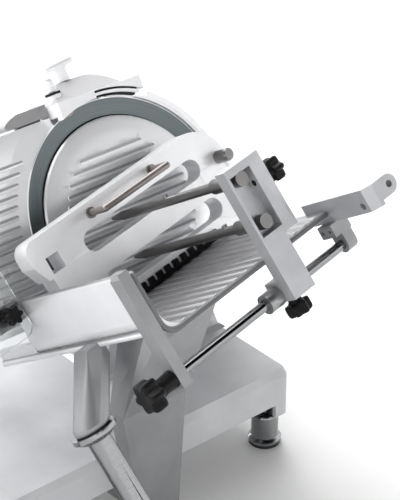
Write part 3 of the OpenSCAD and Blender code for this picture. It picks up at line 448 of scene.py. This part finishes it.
NODE_LOOKS = {
    "base_casting": ("base", 1.5), "blade_column": ("cast", 3.0), "gauge_guide": ("cast", 2.0),
    "leveling_feet": ("chrome_rod", 0.8), "foot_pads": ("rubber", 0.8), "cable_gland": ("grey", 0.6),
    "carriage_rail": ("chrome_rod", 0.0), "blade_carrier": ("carrier", 1.2), "blade_bearings": ("steel", 0.0),
    "rear_housing": ("cast", 2.0), "rear_cover": ("cast", 0.8), "cover_screws": ("steel", 0.4),
    "motor": ("grey", 0.0), "drive_belt": ("belt", 0.0), "switch_plate": ("grey", 0.8),
    "sharpener_post": ("chrome_rod", 0.0), "blade_cover": ("ribbed_cover", 1.6),
    "cover_tie_rod": ("steel", 0.0), "blade": ("blade", 0.0), "blade_shaft": ("steel", 0.0),
    "blade_pulley": ("steel", 0.0), "motor_pulley": ("steel", 0.0), "cover_knob": ("black", 1.2),
    "gauge_plate": ("ribbed_gauge", 1.0), "gauge_slide_rod": ("chrome_rod", 0.0),
    "gauge_link": ("steel", 0.8), "index_knob": ("black", 0.8),
    "index_shaft": ("steel", 0.0), "index_cam": ("steel", 0.0), "start_button": ("green", 0.5),
    "stop_button": ("red", 0.5), "sharpener_hood": ("sharpener", 2.5), "sharpener_seal": ("rubber", 0.0),
    "wing_knob": ("sharpener", 0.8), "sharpener_button": ("steel", 0.6), "grinding_stone": ("stone", 0.4),
    "truing_stone": ("stone", 0.4), "tray": ("tray", 0.6), "carriage_arm": ("arm", 5.0),
    "slide_bush": ("bronze", 0.0), "handle_bracket": ("arm", 3.0), "push_grip": ("chrome_rod", 0.8),
    "hand_guard": ("clear", 0.6), "guard_bracket": ("steel", 0.8), "rod_arm": ("arm", 1.2),
    "guide_rod": ("chrome_rod", 0.8), "rod_end_block": ("arm", 1.5), "side_bar": ("cast", 1.2),
    "guard_knob": ("black", 1.2), "rod_knob": ("black", 1.8), "slider_block": ("cast", 1.0),
    "slider_bush": ("steel", 0.3), "upper_tine": ("tine", 0.5), "lower_tine": ("tine", 0.5),
    "lock_knob": ("black", 1.5), "clamp_knob": ("black", 1.5), "pusher_plate": ("anodised", 1.2),
    "pusher_comb": ("black", 0.5), "pusher_handle": ("handle", 0.0), "pusher_pin": ("tine", 0.8),
}

# Points closer than this, in metres, are joined before the edges are rounded

WELD_GAP = 0.00001


def soften_edges(piece, width, angle):
    """Rounds the edges sharper than an angle in degrees, by a width in millimetres."""
    soft = piece.modifiers.new("soft_edges", "BEVEL")
    soft.width = width * MM
    soft.segments = 3
    soft.limit_method = "ANGLE"
    soft.angle_limit = math.radians(angle)
    return soft


def dress(node, finish, rounding):
    """Gives a CAD node its finish, and rounds its edges with modifiers."""
    node.data.materials.clear()
    node.data.materials.append(FINISHES[finish])
    if rounding:
        weld = node.modifiers.new("join", "WELD")
        weld.merge_threshold = WELD_GAP
        soft = soften_edges(node, rounding, 32)
        soft.use_clamp_overlap = True
        soft.harden_normals = True


for name, (finish, rounding) in NODE_LOOKS.items():
    dress(nodes[name], finish, rounding)


# Pieces made here


def make_piece(name, verts, faces, finish, body, crease=None):
    """Closed mesh on a body, smooth up to the crease angle in degrees, or flat if that is zero."""
    mesh = bpy.data.meshes.new(name)
    mesh.from_pydata([tuple(v) for v in verts], [], faces)
    mesh.validate()
    shell = bmesh.new()
    shell.from_mesh(mesh)
    bmesh.ops.remove_doubles(shell, verts=shell.verts, dist=1e-7)
    bmesh.ops.recalc_face_normals(shell, faces=shell.faces)
    shell.to_mesh(mesh)
    shell.free()
    for face in mesh.polygons:
        face.use_smooth = crease != 0
    if crease:
        mesh.set_sharp_from_angle(angle=math.radians(crease))
    piece = bpy.data.objects.new(name, mesh)
    bpy.context.scene.collection.objects.link(piece)
    mesh.materials.append(FINISHES[finish])
    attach(piece, body)
    return piece


def ring_faces(i, sides):
    """Faces between one ring of points and the ring before it."""
    last, here = (i - 1) * sides, i * sides
    return [(last + j, last + (j + 1) % sides, here + (j + 1) % sides, here + j) for j in range(sides)]


def end_faces(rings, sides):
    """Faces that close the first and the last ring."""
    return [tuple(reversed(range(sides))), tuple(range((rings - 1) * sides, rings * sides))]


def lathe_mesh(profile, centre, axis, side, steps=64):
    """Closed surface swept from a profile of (radius, height) points, in millimetres."""
    across = axis.cross(side).normalized()
    verts, faces = [], []
    count = len(profile)
    for i in range(steps):
        turn = 2 * math.pi * i / steps
        out = side * math.cos(turn) + across * math.sin(turn)
        verts += [centre + (out * r + axis * h) * MM for r, h in profile]
        for j in range(count):
            k = (j + 1) % count
            n = (i + 1) % steps
            faces.append((i * count + j, i * count + k, n * count + k, n * count + j))
    return verts, faces


def lathe(name, profile, centre, axis, side, finish, body):
    """Turned piece from a profile of (radius, height) points, in millimetres."""
    verts, faces = lathe_mesh(profile, centre, axis, side)
    return make_piece(name, verts, faces, finish, body, crease=40)


def ring_lip(name, section, angles, finish, body, steps=120):
    """Sector of a ring about the blade's axis, from a section of (radius, depth) corners at each angle."""
    count = len(section(0.0))
    verts, faces = [], []
    for i in range(steps + 1):
        turn = math.radians(angles[0] + (angles[1] - angles[0]) * i / steps)
        verts += [at_blade(r * math.cos(turn), r * math.sin(turn), n) for r, n in section(turn)]
        if i:
            faces += ring_faces(i, count)
    faces += end_faces(steps + 1, count)
    return make_piece(name, verts, faces, finish, body, crease=0)


def bead(name, path, radius, finish, body, sides=12):
    """Round bead along a path of row-frame points, closed at both ends."""
    verts, faces = [], []
    for i, point in enumerate(path):
        before, after = path[max(i - 1, 0)], path[min(i + 1, len(path) - 1)]
        along = (after - before).normalized()
        across = along.cross(BLADE_OUT).normalized()
        over = across.cross(along).normalized()
        for j in range(sides):
            turn = 2 * math.pi * j / sides
            verts.append(point + (across * math.cos(turn) + over * math.sin(turn)) * radius * MM)
        if i:
            faces += ring_faces(i, sides)
    faces += end_faces(len(path), sides)
    return make_piece(name, verts, faces, finish, body)


def tray_edge_path():
    """Outer end of the tray: down the end wall, round the corner and along the floor."""
    wall, floor, bend, end, steps = -227.5, -88.0, 19.0, 300.5, 8
    path = [at_tray(wall, u, end) for u in (-6, -20, -40, floor + bend)]
    for i in range(1, steps + 1):
        turn = math.pi / 2 * i / steps
        path.append(at_tray(wall + bend * (1 - math.cos(turn)), floor + bend * (1 - math.sin(turn)), end))
    return path + [at_tray(f, floor, end) for f in (-150, -100, -50, 0, 46)]


# Dark bead along the tray's outer edge: partly a trim, partly painted shade, made wide to cover the shade
# beside the edge
bead("tray_edge_trim_and_painted_shade", tray_edge_path(), 3.7, "trim", "carriage")


def gauge_lip_section(turn):
    """Gentle rise of the gauge plate towards the blade, ending at the plate's upper and lower edges."""
    plate_top, plate_low, farthest, nearest = 147.0, 87.0, 178.0, 156.0
    rise = math.sin(turn)
    edge = plate_top / rise if rise > 0 else plate_low / max(-rise, 0.01)
    far = max(min(farthest, edge), nearest)
    return [(150.4, -9.5), (154.6, -9.5), (154.6, -4.2), (far, -4.1), (far, -3.9), (150.4, -0.9)]


# Thin lips that close the gap round the blade on the gauge plate, the guard ring and the sharpener

GUARD_LIP = [(151.0, -6.0), (154.6, -6.0), (154.6, 4.2), (151.0, 4.2)]
SHARPENER_LIP = [(151.2, 5.5), (153.8, 5.5), (153.8, 13.0), (151.2, 13.0)]
ring_lip("gauge_lip", gauge_lip_section, (114.2, 213.8), "anodised", "gauge")
ring_lip("guard_lip", lambda turn: GUARD_LIP, (-60.0, 80.0), "carrier", "machine")
# The sharpener's lip is black rubber, dark to stand in for the shadow line under the sharpener: partly a
# seal, partly painted shade
ring_lip("sharpener_lip_painted_shade", lambda turn: SHARPENER_LIP, (66.0, 94.0), "rubber", "sharpener")


def wing_knob_piece():
    """Flat wing, thick at its far end, on a stem that flares into it."""
    centre = at_blade(-8, 0, -26)
    # Sections of the wing: place along it, half height, half width and lift, in millimetres
    wing = [
        (-22.6, 0.9, 1.2, -2.2), (-20.5, 2.6, 4.2, -2.0), (-13, 3.8, 6.4, -1.2), (-4, 4.3, 7.2, -0.3),
        (6, 4.5, 7.4, 0.5), (14, 4.6, 7.4, 1.1), (19, 4.3, 6.6, 1.5), (21.8, 3.0, 4.2, 1.6),
        (22.6, 0.9, 1.2, 1.6),
    ]
    level, sides = 208.0, 24
    verts, faces = [], []
    for i, (along, high, wide, lift) in enumerate(wing):
        for j in range(sides):
            turn = 2 * math.pi * j / sides
            up, out = level + lift + high * math.sin(turn), wide * math.cos(turn)
            verts.append(centre + (STROKE * along + BLADE_UP * up + BLADE_OUT * out) * MM)
        if i:
            faces += ring_faces(i, sides)
    faces += end_faces(len(wing), sides)
    stem = [
        (0, 186.3), (9.3, 186.3), (8.6, 189), (7.9, 195), (7.8, 200), (7.9, 204), (7.6, 207), (0, 208.5),
    ]
    stem_verts, stem_faces = lathe_mesh(stem, centre, BLADE_UP, STROKE)
    faces += [tuple(len(verts) + k for k in face) for face in stem_faces]
    piece = make_piece("wing_knob_body", verts + stem_verts, faces, "sharpener", "wing_knob")
    fuse = piece.modifiers.new("fuse", "REMESH")
    fuse.mode = "VOXEL"
    fuse.voxel_size = 0.0006
    fuse.use_smooth_shade = True
    soften = piece.modifiers.new("soften", "SMOOTH")
    soften.factor, soften.iterations = 0.5, 6
    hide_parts("wing_knob")


def sharpener_button_pieces():
    """Domed button in a collar with a black ring."""
    centre = at_blade(-47, 150, 0)
    button = [
        (0, 18), (4.5, 18), (4.5, 28), (7.0, 28), (7.0, 30.5), (6.1, 32.5), (5.9, 36), (6.3, 39), (6.0, 42),
        (4.4, 44.2), (2.2, 45.1), (0, 45.4),
    ]
    cap = lathe(
        "sharpener_button_cap", button, centre, BLADE_UP, STROKE, "sharpener", "sharpener_button"
    )
    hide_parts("sharpener_button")
    collar = [(7.6, 9), (9.6, 9), (9.4, 23.2), (7.6, 23.2)]
    lathe("sharpener_button_collar", collar, centre, BLADE_UP, STROKE, "sharpener", "sharpener")
    ring = [(7.5, 23.2), (9.8, 23.2), (10.4, 24.6), (10.0, 26.6), (7.5, 26.6)]
    lathe("sharpener_button_ring", ring, centre, BLADE_UP, STROKE, "rubber", "sharpener")


def star_knob_piece(node, centre, axis, side, width, stem, head, stud):
    """Star knob with six round lobes, a dished top, a stem and its threaded stud's plain end."""
    # Rings of the head: height in millimetres, and share of the full width
    rings = [
        (stem, 0.90), (stem + 0.06 * head, 0.98), (stem + 0.25 * head, 1.0), (stem + 0.72 * head, 1.0),
        (stem + 0.90 * head, 0.94), (stem + 0.98 * head, 0.82), (stem + head, 0.66),
        (stem + 0.93 * head, 0.40),
    ]
    lobes, lobe_depth, steps = 6, 0.15, 96
    across = axis.cross(side).normalized()
    verts, faces = [], []
    for i, (high, share) in enumerate(rings):
        for j in range(steps):
            turn = 2 * math.pi * j / steps
            lobe = lobe_depth * math.cos(lobes * turn) if share > 0.5 else 0.0
            radius = width / 2 * share * (1 - lobe_depth + lobe)
            out = side * math.cos(turn) + across * math.sin(turn)
            verts.append(centre + (out * radius + axis * high) * MM)
        if i:
            faces += ring_faces(i, steps)
    faces += end_faces(len(rings), steps)
    stalk = [
        (0, -stud), (4, -stud), (4, 0), (width * 0.27, 0), (width * 0.275, 0.8), (width * 0.25, stem * 0.6),
        (width * 0.29, stem), (width * 0.29, stem + 0.2 * head), (0, stem + 0.2 * head),
    ]
    stalk_verts, stalk_faces = lathe_mesh(stalk, centre, axis, side)
    faces += [tuple(len(verts) + k for k in face) for face in stalk_faces]
    piece = make_piece(node + "_star", verts + stalk_verts, faces, "black", node, crease=50)
    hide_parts(node)


def star_knobs():
    """The five star knobs: width, stem, head and stud in millimetres."""
    star_knob_piece("rod_knob", at_tray(-246.3, -132, 293), -TRAY_ALONG, BLADE_OUT, 42, 26, 20, 0)
    star_knob_piece("lock_knob", at_tray(-49.5, -142.3, 293), -TRAY_UP, BLADE_OUT, 32, 9, 16, 3)
    star_knob_piece("clamp_knob", at_tray(-9.7, -4, 312), TRAY_ALONG, BLADE_OUT, 32, 6, 15, 20)
    star_knob_piece("guard_knob", at_tray(-255, -10, 49.3), BLADE_OUT, STROKE, 26, 5, 11, 15)
    star_knob_piece("cover_knob", at_blade(0, 0, -205.3), -BLADE_OUT, STROKE, 38, 8, 16, 0)


def handle_bracket_piece():
    """Gusset from the tray's lower corner, widening to the grip's flange."""
    verts = [at_tray(f, u, n) for f in (-251, -225.5) for u in (-93, -75) for n in (134, 166)]
    flange_f, flange_n, flange_r, steps = -290, 150, 23, 40
    for i in range(steps):
        turn = 2 * math.pi * i / steps
        f, n = flange_f + flange_r * math.cos(turn), flange_n + flange_r * math.sin(turn)
        verts += [at_tray(f, u, n) for u in (-157.8, -151)]
    shell = bmesh.new()
    for vert in verts:
        shell.verts.new(vert)
    hull = bmesh.ops.convex_hull(shell, input=shell.verts)
    bmesh.ops.delete(shell, geom=hull["geom_interior"], context="VERTS")
    bmesh.ops.dissolve_limit(shell, angle_limit=0.01, verts=shell.verts, edges=shell.edges)
    shell.verts.index_update()
    corners = [vert.co.copy() for vert in shell.verts]
    faces = [tuple(vert.index for vert in face.verts) for face in shell.faces]
    shell.free()
    piece = make_piece("handle_gusset", corners, faces, "arm", "carriage", crease=0)
    soften_edges(piece, 3.0, 30)
    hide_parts("handle_bracket")


def shoe_end():
    """Rounded far end of the guard shoe."""
    outline = [
        (-100, 150.6), (-121, 150.6), (-125, 151.6), (-127, 154), (-126.4, 157), (-123, 160), (-116, 163.4),
        (-108, 165.8), (-100, 166.4),
    ]
    count = len(outline)
    verts = [at_blade(along, up, out) for out in (-31.5, -7.2) for along, up in outline]
    faces = ring_faces(1, count) + end_faces(2, count)
    piece = make_piece("guard_shoe_end", verts, faces, "carrier", "machine", crease=0)
    soften_edges(piece, 1.5, 30)


def index_scale():
    """Raised ticks on the base round the index knob, a long one for every fifth."""
    ticks, near, half_width = 15, 27.5, 0.5
    verts, faces = [], []
    for i in range(ticks):
        turn = math.pi * i / (ticks - 1)
        out = Vector((0, math.cos(turn), math.sin(turn)))
        side = Vector((0, -math.sin(turn), math.cos(turn)))
        far = 32.5 if i % 5 == 0 else 30.5
        start = len(verts)
        for r, w in ((near, -half_width), (near, half_width), (far, half_width), (far, -half_width)):
            for x in (-270.5, -269.8):
                verts.append(at_base(x, 90, 78) + (out * r + side * w) * MM)
        faces += [
            tuple(start + k for k in face)
            for face in ((0, 2, 4, 6), (1, 7, 5, 3), (0, 1, 3, 2), (2, 3, 5, 4), (4, 5, 7, 6), (6, 7, 1, 0))
        ]
    make_piece("index_scale", verts, faces, "black", "machine", crease=0)


def switch_screws():
    """Two socket screws at the ends of the switch plate."""
    head = [(0, 0.9), (1.5, 0.9), (1.5, 2.0), (2.6, 2.0), (3.1, 1.4), (3.2, 0.0), (0, 0.0)]
    for name, y in (("switch_screw_front", -112), ("switch_screw_rear", -48)):
        lathe(name, head, at_base(-273, y, 88), -STROKE, Vector((0, 0, 1)), "steel", "machine")


wing_knob_piece()
sharpener_button_pieces()
star_knobs()
handle_bracket_piece()
shoe_end()
index_scale()
switch_screws()


# Floor, light and camera


def pale_floor():
    """Large pale floor under the feet."""
    reach = 12
    corners = [(-reach, -reach, 0), (reach, -reach, 0), (reach, reach, 0), (-reach, reach, 0)]
    material, tree, shader = new_finish("pale_floor")
    grained = place_group(tree, GRAIN, [("Grain size", 200.0), ("Cloud size", 2.0)])
    tone = tint(tree, grained.outputs["Cloud"], (0.86, 0.86, 0.86), (0.89, 0.89, 0.89))
    tree.links.new(tone, shader.inputs["Base Color"])
    shader.inputs["Roughness"].default_value = 0.6
    mesh = bpy.data.meshes.new("floor")
    mesh.from_pydata(corners, [], [(0, 1, 2, 3)])
    mesh.materials.append(material)
    floor = bpy.data.objects.new("floor", mesh)
    bpy.context.scene.collection.objects.link(floor)


def soft_light(name, place, target, size, power):
    """Rectangular lamp turned towards a point."""
    lamp = bpy.data.lights.new(name, "AREA")
    lamp.shape = "RECTANGLE"
    lamp.size, lamp.size_y = size
    lamp.energy = power
    holder = bpy.data.objects.new(name, lamp)
    holder.location = place
    holder.rotation_euler = (Vector(target) - Vector(place)).to_track_quat("-Z", "Y").to_euler()
    bpy.context.scene.collection.objects.link(holder)


# Light of the studio: direction, cosine where its edge starts and where it is full, strength

SOFT_BOXES = [
    ((-0.06, 0.72, 0.69), 0.68, 0.88, 4.2),
    ((0.0, 0.0, 1.0), 0.60, 0.42, 1.72),
]


def studio():
    """White surroundings low down, a large soft box behind and above, and one weak lamp at the left."""
    world = bpy.data.worlds.new("studio")
    bpy.context.scene.world = world
    world.use_nodes = True
    tree = world.node_tree
    direction = add_node(tree, "ShaderNodeTexCoord").outputs["Generated"]
    total = None
    for axis, start, end, strength in SOFT_BOXES:
        toward = vector_math(tree, "DOT_PRODUCT", direction, Vector(axis).normalized())
        box = spread(tree, toward, 0.0, strength, start, end)
        total = box if total is None else number_math(tree, "ADD", total, box)
    tree.links.new(total, tree.nodes["Background"].inputs["Strength"])
    tree.nodes["Background"].inputs["Color"].default_value = (1.0, 1.0, 1.0, 1.0)
    soft_light("left", (-2.1, -0.5, 1.9), (0.0, 0.0, 0.25), (1.4, 1.4), 1)
    bpy.context.scene.view_settings.view_transform = "Standard"


# Camera fitted to the photo: sensor in millimetres, focal length and height in pixels, direction in degrees,
# and place from the blade's centre in metres

SENSOR = 36.0
FOCAL_PIXELS = 2048.0
PHOTO_HEIGHT = 500.0
CAMERA_TURN = 40.5
CAMERA_DROP = 30.9
CAMERA_PLACE = Vector((-1.420, -1.7993, 1.3117))


def photo_camera():
    """Camera that sees the machine as the photo does."""
    lens = bpy.data.cameras.new("camera")
    lens.sensor_width = SENSOR
    lens.lens = FOCAL_PIXELS / PHOTO_HEIGHT * SENSOR
    lens.clip_start, lens.clip_end = 0.05, 50.0
    holder = bpy.data.objects.new("camera", lens)
    turn, drop = math.radians(CAMERA_TURN), math.radians(CAMERA_DROP)
    ahead = Vector((math.sin(turn) * math.cos(drop), math.cos(turn) * math.cos(drop), -math.sin(drop)))
    holder.location = BLADE_CENTRE + CAMERA_PLACE
    holder.rotation_euler = ahead.to_track_quat("-Z", "Y").to_euler()
    bpy.context.scene.collection.objects.link(holder)
    bpy.context.scene.camera = holder


pale_floor()
studio()
photo_camera()
